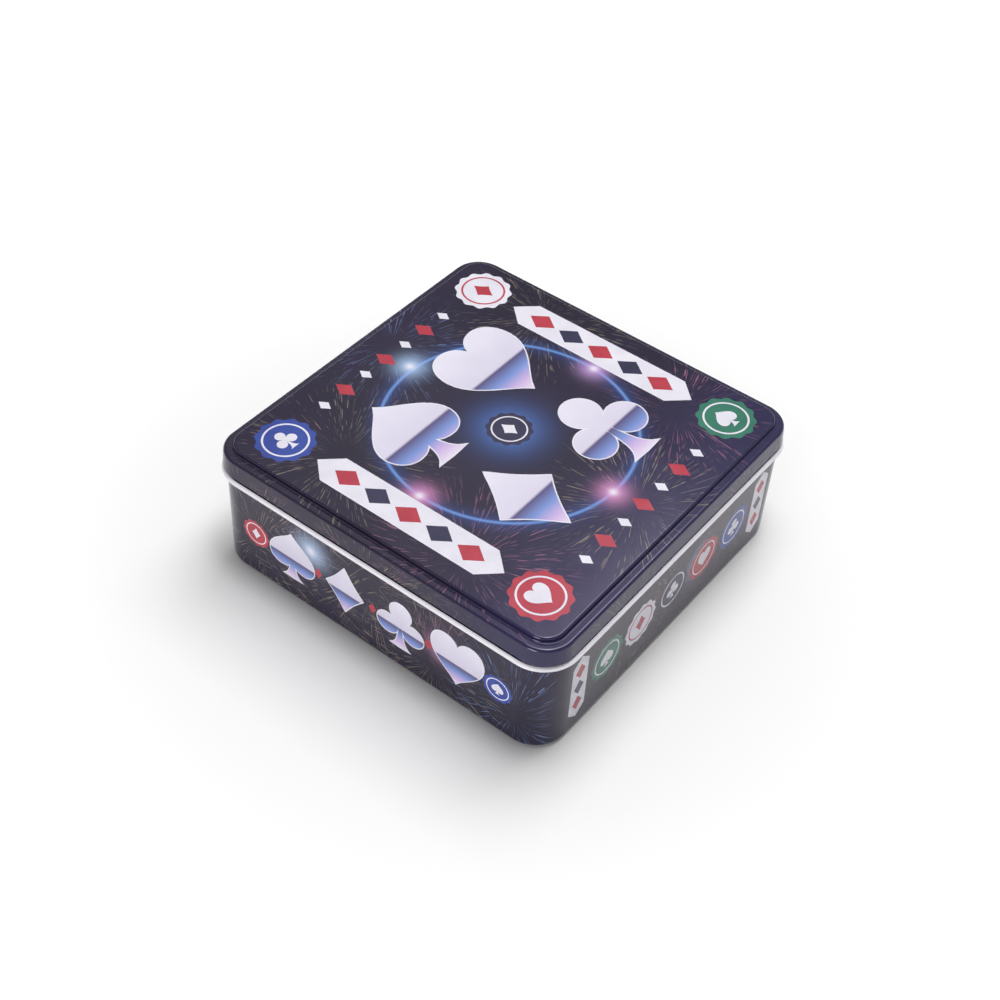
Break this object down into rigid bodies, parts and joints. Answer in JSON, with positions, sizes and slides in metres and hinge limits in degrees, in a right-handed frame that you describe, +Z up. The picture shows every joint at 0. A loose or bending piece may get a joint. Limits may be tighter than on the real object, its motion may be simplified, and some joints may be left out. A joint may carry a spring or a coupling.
{
  "type": "poker set",
  "caption": "Square slip-lid tin with rounded corners and a rolled bead, holding a formed tray of poker chips, a deck of playing cards and a dealer button.",
  "frame": {"origin": "middle of the underside, on the surface that the tin stands on", "axes": "+Z up through the lid, -Y the front, +X to the right seen from the front"},
  "size_m": [0.1638, 0.1638, 0.0581],
  "materials": {
    "tin_body_print": "gloss",
    "tin_lid_print": "gloss",
    "tray_plastic": "satin",
    "dealer_button": "gloss",
    "playing_card": "satin",
    "white_chip": "satin",
    "red_chip": "satin",
    "green_chip": "satin",
    "blue_chip": "satin",
    "black_chip": "satin"
  },
  "bodies": {
    "tin": {"tin_body": "tin_body_print"},
    "lid": {"tin_lid": "tin_lid_print"},
    "tray": {"chip_tray": "tray_plastic"},
    "deck": {"joker_cards": "playing_card", "spade_cards": "playing_card", "diamond_cards": "playing_card", "club_cards": "playing_card", "heart_cards": "playing_card"},
    "button": {"dealer_button": "dealer_button"},
    "white_chips": {"white_chips_1": "white_chip", "white_chips_2": "white_chip", "white_chips_3": "white_chip", "white_chips_4": "white_chip"},
    "red_chips": {"red_chips_1": "red_chip", "red_chips_2": "red_chip", "red_chips_3": "red_chip", "red_chips_4": "red_chip"},
    "left_green_chips": {"green_chips_1": "green_chip", "green_chips_2": "green_chip"},
    "black_chips": {"black_chips_1": "black_chip", "black_chips_2": "black_chip", "black_chips_3": "black_chip", "black_chips_4": "black_chip"},
    "blue_chips": {"blue_chips_1": "blue_chip", "blue_chips_2": "blue_chip", "blue_chips_3": "blue_chip", "blue_chips_4": "blue_chip"},
    "right_green_chips": {"green_chips_3": "green_chip", "green_chips_4": "green_chip"}
  },
  "joints": [
    {"name": "lid_lift", "type": "slide", "parent": "tin", "child": "lid", "axis": [0, 0, 1], "range_m": [0, 0.2]},
    {"name": "tray_lift", "type": "slide", "parent": "tin", "child": "tray", "axis": [0, 0, 1], "range_m": [0, 0.065]},
    {"name": "deck_lift", "type": "slide", "parent": "tray", "child": "deck", "axis": [0, 0, 1], "range_m": [0, 0.06]},
    {"name": "button_lift", "type": "slide", "parent": "tray", "child": "button", "axis": [0, 0, 1], "range_m": [0, 0.035]},
    {"name": "white_chips_lift", "type": "slide", "parent": "tray", "child": "white_chips", "axis": [0, 0, 1], "range_m": [0, 0.05]},
    {"name": "red_chips_lift", "type": "slide", "parent": "tray", "child": "red_chips", "axis": [0, 0, 1], "range_m": [0, 0.05]},
    {"name": "left_green_chips_lift", "type": "slide", "parent": "tray", "child": "left_green_chips", "axis": [0, 0, 1], "range_m": [0, 0.05]},
    {"name": "black_chips_lift", "type": "slide", "parent": "tray", "child": "black_chips", "axis": [0, 0, 1], "range_m": [0, 0.05]},
    {"name": "blue_chips_lift", "type": "slide", "parent": "tray", "child": "blue_chips", "axis": [0, 0, 1], "range_m": [0, 0.05]},
    {"name": "right_green_chips_lift", "type": "slide", "parent": "tray", "child": "right_green_chips", "axis": [0, 0, 1], "range_m": [0, 0.05]}
  ],
  "couplings": [
    {"joint": "tray_lift", "follows": "lid_lift", "ratio": 0.325},
    {"joint": "deck_lift", "follows": "lid_lift", "ratio": 0.3},
    {"joint": "button_lift", "follows": "lid_lift", "ratio": 0.175},
    {"joint": "white_chips_lift", "follows": "lid_lift", "ratio": 0.25},
    {"joint": "red_chips_lift", "follows": "lid_lift", "ratio": 0.25},
    {"joint": "left_green_chips_lift", "follows": "lid_lift", "ratio": 0.25},
    {"joint": "black_chips_lift", "follows": "lid_lift", "ratio": 0.25},
    {"joint": "blue_chips_lift", "follows": "lid_lift", "ratio": 0.25},
    {"joint": "right_green_chips_lift", "follows": "lid_lift", "ratio": 0.25}
  ]
}
